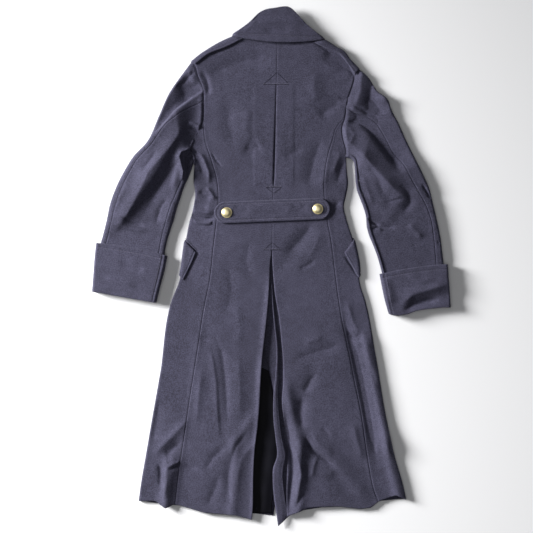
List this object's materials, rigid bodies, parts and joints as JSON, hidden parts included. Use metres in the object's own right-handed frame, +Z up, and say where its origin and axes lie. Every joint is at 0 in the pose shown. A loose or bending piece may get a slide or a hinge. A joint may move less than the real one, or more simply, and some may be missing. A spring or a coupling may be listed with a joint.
{
  "type": "greatcoat",
  "caption": "Long heavy wool greatcoat with turned-back cuffs, half belt and open back vent, laid flat on its front.",
  "frame": {"origin": "centre of the coat's bounding box in plan, on the surface that it lies on", "axes": "+Y from the hem towards the collar, +X towards the wearer's right (the back is up), +Z up from the surface"},
  "size_m": [0.86, 1.24, 0.0293],
  "materials": {
    "melton": "matt, softly mottled nap, dark slate blue",
    "lining": "smooth black satin with a soft sheen",
    "buttons": "polished gilt"
  },
  "bodies": {
    "root": {"back_left": "melton", "back_right": "melton", "front_left": "melton", "front_right": "melton", "shoulder_strap_left": "melton", "shoulder_strap_right": "melton", "top_sleeve_left": "melton", "top_sleeve_right": "melton", "under_sleeve_left": "melton", "under_sleeve_right": "melton", "cuff_left": "melton", "cuff_right": "melton", "collar_fall": "melton", "collar_stand": "melton", "half_belt": "melton", "pocket_flap_left": "melton", "pocket_flap_right": "melton", "slit_welt_left": "melton", "pleat_underlay": "melton", "vent_underlap": "melton", "lining_left": "lining", "half_belt_button_left": "buttons", "half_belt_button_right": "buttons"}
  },
  "joints": []
}
